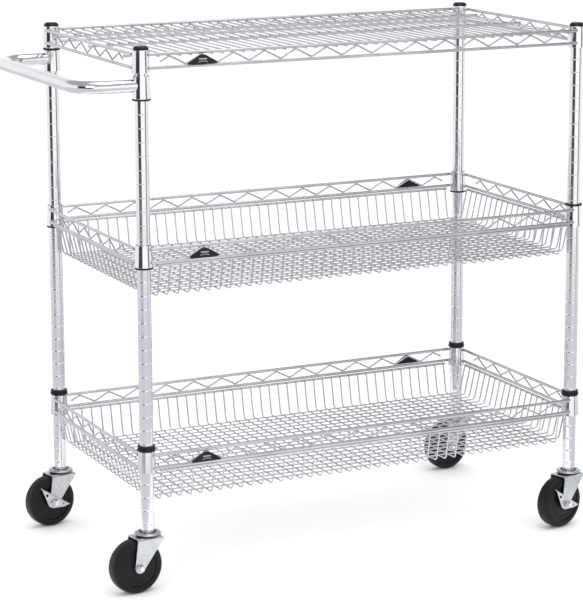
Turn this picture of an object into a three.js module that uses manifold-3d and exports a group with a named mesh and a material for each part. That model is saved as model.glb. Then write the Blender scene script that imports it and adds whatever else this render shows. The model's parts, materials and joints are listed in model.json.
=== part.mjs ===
// Rolling utility cart: a chrome wire top shelf and two wire baskets on four grooved posts,
// with a tube push handle and four swivel casters, two of them with a side brake.
// Millimetres, +Z up, floor at Z = 0. +X runs away from the handle, -Y is the front.

import * as THREE from 'three';
import { mergeVertices } from 'three/addons/utils/BufferGeometryUtils.js';
import Module from 'manifold-3d';

const wasm = await Module();
wasm.setup();

// ---- Driving dimensions -------------------------------------------------------------------

const postSpanLength = 914.4;        // post centre to post centre along the cart
const postSpanDepth = 461;           // post centre to post centre across the cart
const touchGap = 0.3;                // room left between pieces that touch
const slipFit = 0.3;                 // radial room in sliding and turning fits

const postRadius = 12.7;
const postWall = 1.6;
const postLength = 889.8;
const groovePitch = 25.4;
const firstGrooveHeight = 12.2;      // lowest groove above the bottom of the post
const grooveDepth = 0.8;
const grooveWidth = 3;

const railHeightsOnPost = { top: 882.3, middle: 528.3, bottom: 142.5 };
const handleHeightOnPost = 823;    // middle of the handle collars above the post bottom

const railWire = 6;                  // upper and lower rail of each frame
const railPitch = 24.5;              // upper rail centre to lower rail centre
const railOffset = 14;               // rail plane outside the line of post centres
const railEndInset = 8;              // rail end short of the post centre
const trussWire = 3.4;
const trussSink = 0.5;               // how far the truss wire is welded into a rail
const longTrussPeriod = 62.7;
const shortTrussPeriod = 64;
const trussEndRoom = 17;             // least room from the last bend to the post centre
const frameThickness = 5;
const weldTab = 3;                   // length of rail end that closes the frame at a collar

const collarHeight = 41;
const collarRise = 7.5;              // collar top above the upper rail centre
const collarWall = 1.5;
const boreOverrun = 5;               // how far a collar's cutter runs past its ends
const sleeveTopWall = 0.9;
const sleeveBottomWall = 2.6;
const sleeveEndInset = 1;            // plain sleeve end inside the collar end
const sleeveRingRadius = 17.2;
const sleeveRingHeight = 4;
const sleeveRingRoom = 0.4;          // sleeve ring clear of the collar end

const meshWire = 3;                  // basket and deck wires
const runnerOffset = 176;            // outer lengthwise runners, from the middle runner
const deckDrop = 1.8;                // deck top below the underside of the upper rail
const deckEndInset = 22;             // runner end short of the post centre

const basketDepth = 90;              // upper rail centre down to the floor wires
const basketBarDrop = 6;             // basket bar centre below the lower rail centre
const basketBarOffset = 8.5;         // basket bar outside the line of post centres
const basketBarInset = 22;           // basket bar end short of the post centre
const basketFloorInset = 7;          // foot of a wall inside the line of post centres
const wallWire = 3;
const floorThickness = 4;

const handleReach = 116;             // grip centre beyond the post centres
const handleTubeRadius = 11.8;
const handleBendRadius = 85;
const handleRise = 3;                // tube centre above the middle of its collars

const capFlangeRadius = 14.4;
const capTopRadius = 12.6;
const capHeight = 7;
const capDome = 1.4;
const capPlugDepth = 14;

const wheelRadius = 50.8;
const wheelWidth = 32;
const wheelShoulderDrop = 6.5;
const wheelShoulderWidth = 5;
const casterTrail = 27;
const axleRadius = 4.76;
const axleHeadRadius = 7.8;
const axleHeadHeight = 5;
const axleTailLength = 4;            // bolt thread showing past the nut
const forkPlate = 2.5;
const forkWheelRoom = 2;             // fork clear of the wheel, on its sides and above it
const forkLegTopFront = 31;          // leg top edge, toward the trailing wheel
const forkLegTopBack = 24;           // leg top edge, on the other side of the swivel
const forkLegFootRadius = 10;
const forkRaceRadius = 22;
const forkRaceHeight = 2.7;
const swivelRoom = 0.4;
const stemCupRadius = 25;
const stemCupHeight = 5;
const stemNeckRadius = 14;
const stemRise = 7.8;                // post bottom above the underside of the cup
const stemPlugLength = 48;
const kingpinRadius = 7;
const rivetHeadRadius = 10;
const rivetHeadHeight = 1.6;

const casterHoleOverrun = 20;        // how far a cutter runs past the legs and the brake

const brakePlate = 2;
const brakeFlangeWidth = 8;
const brakeLeverPoints = [           // lever outline around the axle, a stamped wing
  [-30, 33], [-14, -6], [-6, -11], [19, -12], [34, -9],
];
const brakeWingHole = [-17, 16];
const brakeWingHoleRadius = 2.5;

const labelWidth = 60;
const labelHeight = 19;
const labelThickness = 2.5;
const labelCorner = 4;
const labelCornerSteps = 3;
const labelDrop = 0.5;               // label tip below the underside of the upper rail

const casterHeadings = { left_front: 6, left_back: 10, right_front: 15, right_back: 8 };
const brakedCorners = ['left_back', 'right_front'];
const topRingCorners = { middle: ['right_front'], bottom: ['left_front', 'left_back',
  'right_front', 'right_back'] };

// Facets around the round pieces.
const tubeSides = 10;
const wheelSides = 24;
const handleBendSteps = 4;

// ---- Sizes that follow --------------------------------------------------------------------

const postBore = postRadius - postWall;
const sleeveBore = postRadius + slipFit;
const sleeveTopRadius = sleeveBore + sleeveTopWall;
const sleeveBottomRadius = sleeveBore + sleeveBottomWall;
const collarTopBore = sleeveTopRadius + slipFit;
const collarBottomBore = sleeveBottomRadius + slipFit;
const trussLow = railWire / 2 + trussWire / 2 - trussSink;
const trussHigh = railPitch - trussLow;
const forkTop = wheelRadius * 2 + forkWheelRoom + forkPlate;
const cupBottom = forkTop + forkRaceHeight + swivelRoom;
const legOutside = wheelWidth / 2 + forkWheelRoom + forkPlate;
const postBottom = cupBottom + stemRise;
const postTop = postBottom + postLength;
const handleHeight = postBottom + handleHeightOnPost;
const topRailHeights = Object.fromEntries(Object.entries(railHeightsOnPost).map(
  ([level, height]) => [level, postBottom + height]));

const corners = {
  left_front: [-postSpanLength / 2, -postSpanDepth / 2],
  left_back: [-postSpanLength / 2, postSpanDepth / 2],
  right_front: [postSpanLength / 2, -postSpanDepth / 2],
  right_back: [postSpanLength / 2, postSpanDepth / 2],
};

const railLengths = { long: postSpanLength - 2 * railEndInset, short: postSpanDepth - 2 * railEndInset };

// Bends of the truss wire that touch the upper rail, evenly spaced about the middle of a side.
function trussPeaks(span, period) {
  const count = Math.floor((span - 2 * trussEndRoom) / period);
  return Array.from({ length: count }, (_, i) => (i - (count - 1) / 2) * period);
}

const runners = [-runnerOffset, 0, runnerOffset];
const longPeaks = trussPeaks(postSpanLength, longTrussPeriod);
const shortPeaks = trussPeaks(postSpanDepth, shortTrussPeriod);

// The groove of the post nearest to a height, which a sleeve on that height latches into.
function nearestGroove(height) {
  const lowest = postBottom + firstGrooveHeight;
  return lowest + Math.round((height - lowest) / groovePitch) * groovePitch;
}

function collarMiddle(level) {
  return topRailHeights[level] + collarRise - collarHeight / 2;
}

// ---- Materials ----------------------------------------------------------------------------

const finishes = {
  chrome: { color: 0xd9dbe0, roughness: 0.16, metalness: 1 },
  zinc: { color: 0xc4c8cc, roughness: 0.34, metalness: 1 },
  rubber: { color: 0x26262a, roughness: 0.62, metalness: 0 },
  plastic: { color: 0x17171a, roughness: 0.45, metalness: 0 },
};

function finish(name) {
  return new THREE.MeshStandardMaterial({ ...finishes[name], flatShading: true });
}

// ---- Geometry helpers ---------------------------------------------------------------------

// Shared corners merged, and the flat triangles that a turned profile makes on its axis dropped.
function welded(geometry) {
  geometry.deleteAttribute('normal');
  geometry.deleteAttribute('uv');
  const merged = mergeVertices(geometry, 1e-4);
  const kept = [];
  for (let i = 0; i < merged.index.count; i += 3) {
    const [a, b, c] = [0, 1, 2].map((k) => merged.index.getX(i + k));
    if (a !== b && b !== c && c !== a) {
      kept.push(a, b, c);
    }
  }
  merged.setIndex(kept);
  return merged;
}

function toSolid(geometry) {
  const whole = welded(geometry);
  return new wasm.Manifold(new wasm.Mesh({
    numProp: 3,
    vertProperties: new Float32Array(whole.attributes.position.array),
    triVerts: new Uint32Array(whole.index.array),
  }));
}

function toGeometry(solid) {
  const mesh = solid.getMesh();
  const geometry = new THREE.BufferGeometry();
  geometry.setAttribute('position', new THREE.BufferAttribute(new Float32Array(mesh.vertProperties), 3));
  geometry.setIndex(new THREE.BufferAttribute(new Uint32Array(mesh.triVerts), 1));
  return geometry;
}

function joined(pieces) {
  return pieces.map(toSolid).reduce((whole, piece) => whole.add(piece));
}

function cutFrom(solid, cutters) {
  return cutters.map(toSolid).reduce((rest, cutter) => rest.subtract(cutter), solid);
}

// Solid of revolution about Z; the profile runs up the outside and closes on itself.
function turned(profile, sides) {
  const points = [...profile, profile[0]].map(([radius, height]) => new THREE.Vector2(radius, height));
  return new THREE.LatheGeometry(points, sides).rotateX(Math.PI / 2);
}

function outline(points) {
  return points.map(([x, y]) => new THREE.Vector2(x, y));
}

// Flat plate from a shape, centred on its own thickness, lying level.
function levelPlate(shape, thickness, curveSegments = 4) {
  const plate = new THREE.ExtrudeGeometry(shape, { depth: thickness, bevelEnabled: false, curveSegments });
  return plate.translate(0, 0, -thickness / 2);
}

// The same plate standing up, with the shape's y axis along Z and its thickness along Y.
function uprightPlate(shape, thickness, curveSegments) {
  return levelPlate(shape, thickness, curveSegments).rotateX(Math.PI / 2);
}

// Level plate with straight-sided holes cut through it.
function piercedPlate(edge, holes, thickness) {
  const plate = toSolid(levelPlate(new THREE.Shape(outline(edge)), thickness));
  const cutters = holes.map((hole) => levelPlate(new THREE.Shape(outline(hole)), 2 * thickness));
  return toGeometry(cutFrom(plate, cutters));
}

// Cutter for a hole along Y, longer than the caster is wide.
function holeAlongY(radius) {
  const length = 2 * legOutside + 2 * casterHoleOverrun;
  return new THREE.CylinderGeometry(radius, radius, length, tubeSides);
}

// Corner radius of a faceted bore whose flats stay clear of a pin, however the two are turned.
function turningBore(pinRadius, sides) {
  return (pinRadius + slipFit) / Math.cos(Math.PI / sides);
}

function rectangle(left, right, low, high) {
  return [[left, low], [right, low], [right, high], [left, high]];
}

function named(name, geometry, finishName) {
  const mesh = new THREE.Mesh(geometry, finish(finishName));
  mesh.name = name;
  return mesh;
}

// ---- Posts, caps and sleeves --------------------------------------------------------------

function postProfile(grooveHeights) {
  const profile = [[postBore, postBottom], [postRadius, postBottom]];
  for (const height of grooveHeights) {
    profile.push([postRadius, height - grooveWidth / 2]);
    profile.push([postRadius - grooveDepth, height]);
    profile.push([postRadius, height + grooveWidth / 2]);
  }
  profile.push([postRadius, postTop], [postBore, postTop]);
  return profile;
}

function post(corner) {
  const heights = ['bottom', 'middle', 'top'].map(collarMiddle);
  if (corner.startsWith('left')) {
    heights.push(handleHeight);
  }
  const grooves = heights.map(nearestGroove).sort((a, b) => a - b);
  const mesh = named(`post_${corner}`, welded(turned(postProfile(grooves), tubeSides)), 'chrome');
  mesh.position.set(...corners[corner], 0);
  return mesh;
}

function postCap(corner) {
  const base = postTop + touchGap;
  const profile = [
    [0, postTop - capPlugDepth],
    [postBore - slipFit, postTop - capPlugDepth],
    [postBore - slipFit, base],
    [capFlangeRadius, base],
    [capTopRadius, base + capHeight - capDome],
    [0, base + capHeight],
  ];
  const mesh = named(`post_cap_${corner}`, welded(turned(profile, tubeSides)), 'plastic');
  mesh.position.set(...corners[corner], 0);
  return mesh;
}

// Tapered sleeve between post and collar, with a ridge in the groove of the post. The ring is
// the rim that shows past one end of the collar: 'top', 'bottom' or 'none'.
function sleeve(name, corner, middle, ring) {
  const low = middle - collarHeight / 2;
  const high = middle + collarHeight / 2;
  const ridge = nearestGroove(middle);
  const taperRadius = (height) => THREE.MathUtils.mapLinear(
    height, low, high, sleeveBottomRadius, sleeveTopRadius);
  const start = ring === 'bottom' ? low - sleeveRingRoom - sleeveRingHeight : low + sleeveEndInset;
  const end = ring === 'top' ? high + sleeveRingRoom + sleeveRingHeight : high - sleeveEndInset;
  const profile = [[sleeveBore, start]];
  if (ring === 'bottom') {
    profile.push([sleeveRingRadius, start]);
    profile.push([sleeveRingRadius, low - sleeveRingRoom]);
    profile.push([taperRadius(low), low - sleeveRingRoom]);
  } else {
    profile.push([taperRadius(start), start]);
  }
  if (ring === 'top') {
    profile.push([taperRadius(high), high + sleeveRingRoom]);
    profile.push([sleeveRingRadius, high + sleeveRingRoom]);
    profile.push([sleeveRingRadius, end]);
  } else {
    profile.push([taperRadius(end), end]);
  }
  profile.push([sleeveBore, end]);
  profile.push([sleeveBore, ridge + grooveWidth / 2 - slipFit]);
  profile.push([sleeveBore - grooveDepth, ridge]);
  profile.push([sleeveBore, ridge - grooveWidth / 2 + slipFit]);
  const mesh = named(name, welded(turned(profile, tubeSides)), 'plastic');
  mesh.position.set(...corners[corner], 0);
  return mesh;
}

function shelfSleeve(level, corner) {
  let ring = 'bottom';
  if (level === 'top') {
    ring = 'none';
  } else if (topRingCorners[level].includes(corner)) {
    ring = 'top';
  }
  return sleeve(`sleeve_${level}_${corner}`, corner, collarMiddle(level), ring);
}

// ---- Frames: four collars, rails and truss wires ------------------------------------------

function collarOutside(middle) {
  const low = middle - collarHeight / 2;
  const high = middle + collarHeight / 2;
  const profile = [
    [0, low],
    [collarBottomBore + collarWall, low],
    [collarTopBore + collarWall, high],
    [0, high],
  ];
  return turned(profile, tubeSides);
}

function collarBore(middle) {
  const slope = (collarBottomBore - collarTopBore) / collarHeight;
  const reach = collarHeight / 2 + boreOverrun;
  const profile = [
    [0, middle - reach],
    [collarBottomBore + slope * boreOverrun, middle - reach],
    [collarTopBore - slope * boreOverrun, middle + reach],
    [0, middle + reach],
  ];
  return turned(profile, tubeSides);
}

// One side of a frame, seen from outside: two rails with the bent truss wire between them.
function trussSide(railLength, peaks, period) {
  const railRadius = railWire / 2;
  const halfLength = railLength / 2;
  const holes = [];
  const halfPeriod = period / 2;
  const slope = (trussHigh - trussLow) / halfPeriod;
  const wireHalf = (trussWire / 2) * Math.hypot(1, slope);
  const cornerRun = (railRadius + wireHalf - trussLow) / slope;
  const low = railRadius;
  const high = railPitch - railRadius;
  for (const peak of peaks) {
    holes.push([
      [peak - halfPeriod + cornerRun, low],
      [peak + halfPeriod - cornerRun, low],
      [peak, trussHigh - wireHalf],
    ]);
  }
  for (const peak of peaks.slice(0, -1)) {
    const valley = peak + halfPeriod;
    holes.push([
      [peak + cornerRun, high],
      [valley, trussLow + wireHalf],
      [valley + halfPeriod - cornerRun, high],
    ]);
  }
  const lastPeak = peaks[peaks.length - 1];
  const lastFoot = lastPeak + halfPeriod - cornerRun + 2 * wireHalf / slope;
  for (const side of [-1, 1]) {
    holes.push([
      [side * (lastPeak + cornerRun), high],
      [side * Math.min(lastFoot, halfLength - 2 * weldTab), low],
      [side * (halfLength - weldTab), low],
      [side * (halfLength - weldTab), high],
    ]);
  }
  const edge = rectangle(-halfLength, halfLength, -railRadius, railPitch + railRadius);
  return piercedPlate(edge, holes, frameThickness).rotateX(Math.PI / 2);
}

function frame(name, level) {
  const lowerRail = topRailHeights[level] - railPitch;
  const middle = collarMiddle(level);
  const sideY = postSpanDepth / 2 + railOffset;
  const sideX = postSpanLength / 2 + railOffset;
  const places = Object.values(corners);
  const pieces = places.map(([x, y]) => collarOutside(middle).translate(x, y, 0));
  for (const side of [-1, 1]) {
    const long = trussSide(railLengths.long, longPeaks, longTrussPeriod);
    pieces.push(long.translate(0, side * sideY, lowerRail));
    const short = trussSide(railLengths.short, shortPeaks, shortTrussPeriod);
    pieces.push(short.rotateZ(Math.PI / 2).translate(side * sideX, 0, lowerRail));
  }
  const bores = places.map(([x, y]) => collarBore(middle).translate(x, y, 0));
  return named(name, toGeometry(cutFrom(joined(pieces), bores)), 'chrome');
}

// ---- Grilles and the top deck -------------------------------------------------------------

// Straight wires along both axes in one flat grille, with open ends past the outer wires.
function grille(linesX, linesY, reachX, reachY, thickness) {
  const halfWire = meshWire / 2;
  const gaps = (lines, reach) => {
    const starts = [-2 * reach, ...lines.map((line) => line + halfWire)];
    const ends = [...lines.map((line) => line - halfWire), 2 * reach];
    return starts.map((start, i) => [start, ends[i]]);
  };
  const holes = gaps(linesX, reachX).flatMap(
    ([left, right]) => gaps(linesY, reachY).map(([low, high]) => rectangle(left, right, low, high)));
  return piercedPlate(rectangle(-reachX, reachX, -reachY, reachY), holes, thickness);
}

// Wires across the cart on three runners along it, between the rails.
function topDeck() {
  const reachX = postSpanLength / 2 - deckEndInset;
  const reachY = postSpanDepth / 2 + railOffset - frameThickness / 2 - touchGap;
  const mesh = named('top_shelf_deck', grille(longPeaks, runners, reachX, reachY, meshWire), 'chrome');
  mesh.position.z = topRailHeights.top - railWire / 2 - deckDrop - meshWire / 2;
  return mesh;
}

// ---- Baskets ------------------------------------------------------------------------------

// A wall of drop wires under its bar, leaning in toward the floor by the lean angle.
function wallComb(name, span, peaks, drop) {
  const halfWire = wallWire / 2;
  const halfBar = span / 2 - basketBarInset;
  const points = [[-halfBar, halfWire], [-halfBar, -halfWire]];
  for (const peak of peaks) {
    points.push([peak - halfWire, -halfWire]);
    points.push([peak - halfWire, -drop]);
    points.push([peak + halfWire, -drop]);
    points.push([peak + halfWire, -halfWire]);
  }
  points.push([halfBar, -halfWire], [halfBar, halfWire]);
  return named(name, welded(uprightPlate(new THREE.Shape(outline(points)), wallWire)), 'chrome');
}

function basket(level) {
  const group = new THREE.Group();
  const barHeight = topRailHeights[level] - railPitch - basketBarDrop;
  const floorHeight = topRailHeights[level] - basketDepth;
  const wallHeight = barHeight - floorHeight - floorThickness / 2;
  const leanRun = basketBarOffset + basketFloorInset;
  const lean = Math.atan2(leanRun, wallHeight);
  const drop = Math.hypot(leanRun, wallHeight) - touchGap - wallWire * Math.tan(lean);
  const sides = {
    front: { turn: 0, span: postSpanLength, away: postSpanDepth / 2, peaks: longPeaks },
    right: { turn: 90, span: postSpanDepth, away: postSpanLength / 2, peaks: shortPeaks },
    back: { turn: 180, span: postSpanLength, away: postSpanDepth / 2, peaks: longPeaks },
    left: { turn: 270, span: postSpanDepth, away: postSpanLength / 2, peaks: shortPeaks },
  };
  for (const [side, { turn, span, away, peaks }] of Object.entries(sides)) {
    const wall = wallComb(`${level}_basket_wall_${side}`, span, peaks, drop);
    wall.position.set(0, -away - basketBarOffset, barHeight);
    wall.rotation.x = lean;
    const turner = new THREE.Group();
    turner.rotation.z = THREE.MathUtils.degToRad(turn);
    turner.add(wall);
    group.add(turner);
  }
  group.add(basketFloor(level, floorHeight));
  return group;
}

function basketFloor(level, floorHeight) {
  const reachX = postSpanLength / 2 - basketFloorInset;
  const reachY = postSpanDepth / 2 - basketFloorInset;
  const grid = grille(longPeaks, runners, reachX, reachY, floorThickness);
  const mesh = named(`${level}_basket_floor`, grid, 'chrome');
  mesh.position.z = floorHeight;
  return mesh;
}

// ---- Push handle --------------------------------------------------------------------------

// Centre line of the U tube in its own plane, from one post to the other.
class HandlePath extends THREE.CurvePath {
  constructor() {
    super();
    const half = postSpanDepth / 2;
    const bend = handleBendRadius;
    const at = (x, y) => new THREE.Vector3(x, y, 0);
    const bendCurve = (centreY, startAngle) => {
      const arc = new THREE.Curve();
      arc.getPoint = (t) => {
        const angle = startAngle - t * Math.PI / 2;
        return at(bend - handleReach + bend * Math.cos(angle), centreY + bend * Math.sin(angle));
      };
      return arc;
    };
    this.add(new THREE.LineCurve3(at(0, -half), at(bend - handleReach, -half)));
    this.add(bendCurve(bend - half, -Math.PI / 2));
    this.add(new THREE.LineCurve3(at(-handleReach, bend - half), at(-handleReach, half - bend)));
    this.add(bendCurve(half - bend, -Math.PI));
    this.add(new THREE.LineCurve3(at(bend - handleReach, half), at(0, half)));
  }
}

function pushHandle() {
  const path = new HandlePath();
  const section = new THREE.Shape(outline(Array.from({ length: tubeSides }, (_, i) => {
    const angle = 2 * Math.PI * i / tubeSides;
    return [handleTubeRadius * Math.cos(angle), handleTubeRadius * Math.sin(angle)];
  })));
  const steps = Math.round(path.getLength() / (handleBendRadius * Math.PI / 2 / handleBendSteps));
  const tube = new THREE.ExtrudeGeometry(section, { steps, extrudePath: path, bevelEnabled: false });
  tube.translate(0, 0, handleRise);
  const ends = [-1, 1].map((side) => side * postSpanDepth / 2);
  const collars = ends.map((y) => collarOutside(0).translate(0, y, 0));
  const bores = ends.map((y) => collarBore(0).translate(0, y, 0));
  const solid = cutFrom(joined([tube, ...collars]), bores);
  const mesh = named('push_handle', toGeometry(solid), 'chrome');
  mesh.position.set(-postSpanLength / 2, 0, handleHeight);
  return mesh;
}

// ---- Casters ------------------------------------------------------------------------------

function casterStem(corner) {
  const cupTop = cupBottom + stemCupHeight;
  const plateBottom = forkTop - forkPlate;
  const headTop = plateBottom - swivelRoom;
  const profile = [
    [0, headTop - rivetHeadHeight],
    [rivetHeadRadius, headTop - rivetHeadHeight],
    [rivetHeadRadius, headTop],
    [kingpinRadius, headTop],
    [kingpinRadius, cupBottom],
    [stemCupRadius, cupBottom],
    [stemCupRadius, cupTop - stemCupHeight / 3],
    [stemNeckRadius, cupTop],
    [stemNeckRadius, postBottom - touchGap],
    [postBore - slipFit, postBottom - touchGap],
    [postBore - slipFit, postBottom + stemPlugLength],
    [0, postBottom + stemPlugLength],
  ];
  return named(`caster_stem_${corner}`, welded(turned(profile, tubeSides)), 'zinc');
}

// Side of the fork around the axle at the origin, with the swivel axis at x = trail.
function legShape() {
  const top = forkTop - wheelRadius;
  const foot = forkLegFootRadius;
  const backTop = [casterTrail + forkLegTopBack, top];
  const backAngle = Math.atan2(backTop[1], backTop[0]) - Math.acos(foot / Math.hypot(...backTop));
  const shape = new THREE.Shape();
  shape.moveTo(casterTrail - forkLegTopFront, top);
  shape.lineTo(-foot, 0);
  shape.absarc(0, 0, foot, Math.PI, backAngle, false);
  shape.lineTo(...backTop);
  return shape;
}

function casterFork(corner) {
  const place = (geometry) => geometry.translate(-casterTrail, 0, wheelRadius);
  const legs = [-1, 1].map((side) => place(
    uprightPlate(legShape(), forkPlate).translate(0, side * (legOutside - forkPlate / 2), 0)));
  const crown = new THREE.Shape();
  const cornerX = Math.sqrt(stemCupRadius ** 2 - legOutside ** 2);
  crown.moveTo(-forkLegTopFront, -legOutside);
  crown.lineTo(cornerX, -legOutside);
  crown.absarc(0, 0, stemCupRadius, -Math.acos(cornerX / stemCupRadius),
    Math.acos(cornerX / stemCupRadius), false);
  crown.lineTo(-forkLegTopFront, legOutside);
  const plate = levelPlate(crown, forkPlate).translate(0, 0, forkTop - forkPlate / 2);
  const raceSink = forkPlate / 2;
  const race = turned([
    [0, forkTop - raceSink],
    [forkRaceRadius, forkTop - raceSink],
    [forkRaceRadius, forkTop + forkRaceHeight],
    [0, forkTop + forkRaceHeight],
  ], tubeSides);
  const pinBore = turningBore(kingpinRadius, tubeSides);
  const kingpinHole = turned([
    [0, forkTop - 2 * forkPlate],
    [pinBore, forkTop - 2 * forkPlate],
    [pinBore, cupBottom],
    [0, cupBottom],
  ], tubeSides);
  const axleHole = place(holeAlongY(turningBore(axleRadius, tubeSides)));
  const solid = cutFrom(joined([plate, race, ...legs]), [kingpinHole, axleHole]);
  return named(`caster_fork_${corner}`, toGeometry(solid), 'zinc');
}

function casterWheel(corner) {
  const bore = turningBore(axleRadius, wheelSides);
  const halfWidth = wheelWidth / 2;
  const treadRadius = wheelRadius / Math.cos(Math.PI / wheelSides);
  const profile = [
    [bore, -halfWidth],
    [treadRadius - wheelShoulderDrop, -halfWidth],
    [treadRadius, -halfWidth + wheelShoulderWidth],
    [treadRadius, halfWidth - wheelShoulderWidth],
    [treadRadius - wheelShoulderDrop, halfWidth],
    [bore, halfWidth],
  ];
  const wheel = turned(profile, wheelSides).rotateZ(Math.PI / wheelSides).rotateX(Math.PI / 2);
  const mesh = named(`caster_wheel_${corner}`, welded(wheel), 'rubber');
  mesh.position.set(-casterTrail, 0, wheelRadius);
  return mesh;
}

// Bolt through the fork with its head at the back and a nut in front of the leg or the brake.
function casterAxle(corner) {
  const brakeRoom = brakedCorners.includes(corner) ? brakePlate + touchGap : 0;
  const headFace = legOutside + touchGap;
  const nutFace = -legOutside - brakeRoom - touchGap;
  const tail = nutFace - axleHeadHeight - axleTailLength;
  const profile = [
    [0, tail],
    [axleRadius, tail],
    [axleRadius, nutFace - axleHeadHeight],
    [axleHeadRadius, nutFace - axleHeadHeight],
    [axleHeadRadius, nutFace],
    [axleRadius, nutFace],
    [axleRadius, headFace],
    [axleHeadRadius, headFace],
    [axleHeadRadius, headFace + axleHeadHeight],
    [0, headFace + axleHeadHeight],
  ];
  const bolt = turned(profile, tubeSides).rotateX(-Math.PI / 2);
  const mesh = named(`caster_axle_${corner}`, welded(bolt), 'zinc');
  mesh.position.set(-casterTrail, 0, wheelRadius);
  return mesh;
}

// Stamped wing on the outside of the front leg, with a foot flange bent out along its top edge.
function brakeLever(corner) {
  const wing = new THREE.Shape(outline(brakeLeverPoints));
  const plateMiddle = -legOutside - touchGap - brakePlate / 2;
  const plate = uprightPlate(wing, brakePlate).translate(0, plateMiddle, 0);
  const [startX, startZ] = brakeLeverPoints[0];
  const [endX, endZ] = brakeLeverPoints[brakeLeverPoints.length - 1];
  const length = Math.hypot(endX - startX, endZ - startZ);
  const flange = new THREE.BoxGeometry(length, brakeFlangeWidth, brakePlate);
  flange.translate(length / 2, 0, -brakePlate / 2);
  flange.rotateY(-Math.atan2(endZ - startZ, endX - startX));
  flange.translate(startX, plateMiddle + brakePlate / 2 - brakeFlangeWidth / 2, startZ);
  const axleHole = holeAlongY(turningBore(axleRadius, tubeSides));
  const wingHole = holeAlongY(brakeWingHoleRadius);
  wingHole.translate(brakeWingHole[0], 0, brakeWingHole[1]);
  const solid = cutFrom(joined([plate, flange]), [axleHole, wingHole]);
  const mesh = named(`brake_lever_${corner}`, toGeometry(solid), 'zinc');
  mesh.position.set(-casterTrail, 0, wheelRadius);
  return mesh;
}

function caster(corner) {
  const group = new THREE.Group();
  group.add(casterFork(corner), casterWheel(corner), casterAxle(corner));
  if (brakedCorners.includes(corner)) {
    group.add(brakeLever(corner));
  }
  group.rotation.z = THREE.MathUtils.degToRad(casterHeadings[corner]);
  const placed = new THREE.Group();
  placed.add(casterStem(corner), group);
  placed.position.set(...corners[corner], 0);
  return placed;
}

// ---- Label plates -------------------------------------------------------------------------

// Blank plate with a rounded triangle outline, in the second gap of the truss from the left.
function labelPlate(level, side) {
  const half = labelWidth / 2;
  const tip = -labelDrop;
  const foot = tip - labelHeight;
  const shape = new THREE.Shape();
  const slope = new THREE.Vector2(half - labelCorner, labelHeight).normalize();
  shape.moveTo(-half + labelCorner, foot);
  shape.lineTo(half - labelCorner, foot);
  shape.quadraticCurveTo(half, foot, half - labelCorner * slope.x, foot + labelCorner * slope.y);
  shape.lineTo(labelCorner * slope.x, tip - labelCorner * slope.y);
  shape.quadraticCurveTo(0, tip, -labelCorner * slope.x, tip - labelCorner * slope.y);
  shape.lineTo(-half + labelCorner * slope.x, foot + labelCorner * slope.y);
  shape.quadraticCurveTo(-half, foot, -half + labelCorner, foot);
  const plate = uprightPlate(shape, labelThickness, labelCornerSteps);
  const mesh = named(`label_plate_${level}_${side}`, welded(plate), 'plastic');
  const away = postSpanDepth / 2 + railOffset + frameThickness / 2 + touchGap + labelThickness / 2;
  const underRail = topRailHeights[level] - railWire / 2;
  mesh.position.set(longPeaks[1], -away, underRail);
  const turner = new THREE.Group();
  turner.rotation.z = side === 'front' ? 0 : Math.PI;
  turner.add(mesh);
  return turner;
}

// ---- Assembly -----------------------------------------------------------------------------

const cart = new THREE.Group();
for (const corner of Object.keys(corners)) {
  cart.add(post(corner), postCap(corner), caster(corner));
  for (const level of Object.keys(topRailHeights)) {
    cart.add(shelfSleeve(level, corner));
  }
}
cart.add(sleeve('sleeve_handle_front', 'left_front', handleHeight, 'bottom'));
cart.add(sleeve('sleeve_handle_back', 'left_back', handleHeight, 'top'));
cart.add(pushHandle());
cart.add(frame('top_shelf_frame', 'top'), topDeck());
for (const level of ['middle', 'bottom']) {
  cart.add(frame(`${level}_basket_frame`, level), basket(level));
}
cart.add(labelPlate('top', 'front'));
for (const level of ['middle', 'bottom']) {
  cart.add(labelPlate(level, 'front'), labelPlate(level, 'back'));
}

// The origin is on the floor, under the middle of the whole cart's bounding box.
const bounds = new THREE.Box3().setFromObject(cart, true);
const centre = bounds.getCenter(new THREE.Vector3());
cart.position.set(-centre.x, -centre.y, -bounds.min.z);

const assembly = new THREE.Group();
assembly.add(cart);

export default assembly;
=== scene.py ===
"""Looks of the rolling utility cart: chrome wire shelf and baskets on four grooved posts.

Sizes are in millimetres around the middle of the four posts, with the floor at height 0,
and the pieces are turned into metres in the frame's place as they are made.
"""

import json
import math

import bmesh
import bpy
from mathutils import Matrix, Vector
from mathutils.geometry import tessellate_polygon


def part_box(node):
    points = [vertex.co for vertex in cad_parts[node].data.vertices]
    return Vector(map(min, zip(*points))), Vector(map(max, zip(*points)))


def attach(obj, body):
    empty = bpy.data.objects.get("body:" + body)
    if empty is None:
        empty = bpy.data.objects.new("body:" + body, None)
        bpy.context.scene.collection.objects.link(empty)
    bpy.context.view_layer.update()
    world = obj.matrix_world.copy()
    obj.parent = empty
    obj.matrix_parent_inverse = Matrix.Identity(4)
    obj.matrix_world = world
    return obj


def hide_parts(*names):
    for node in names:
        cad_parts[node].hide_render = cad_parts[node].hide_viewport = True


MM = 0.001

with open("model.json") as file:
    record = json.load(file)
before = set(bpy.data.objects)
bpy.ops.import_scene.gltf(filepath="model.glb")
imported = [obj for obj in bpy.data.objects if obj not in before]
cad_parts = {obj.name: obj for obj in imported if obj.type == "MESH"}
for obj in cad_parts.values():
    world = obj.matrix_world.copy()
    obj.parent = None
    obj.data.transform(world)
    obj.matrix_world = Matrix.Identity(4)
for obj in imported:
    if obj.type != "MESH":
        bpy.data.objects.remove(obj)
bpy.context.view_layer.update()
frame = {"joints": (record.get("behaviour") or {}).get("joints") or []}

# ---- Sizes ---------------------------------------------------------------------------------

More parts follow.
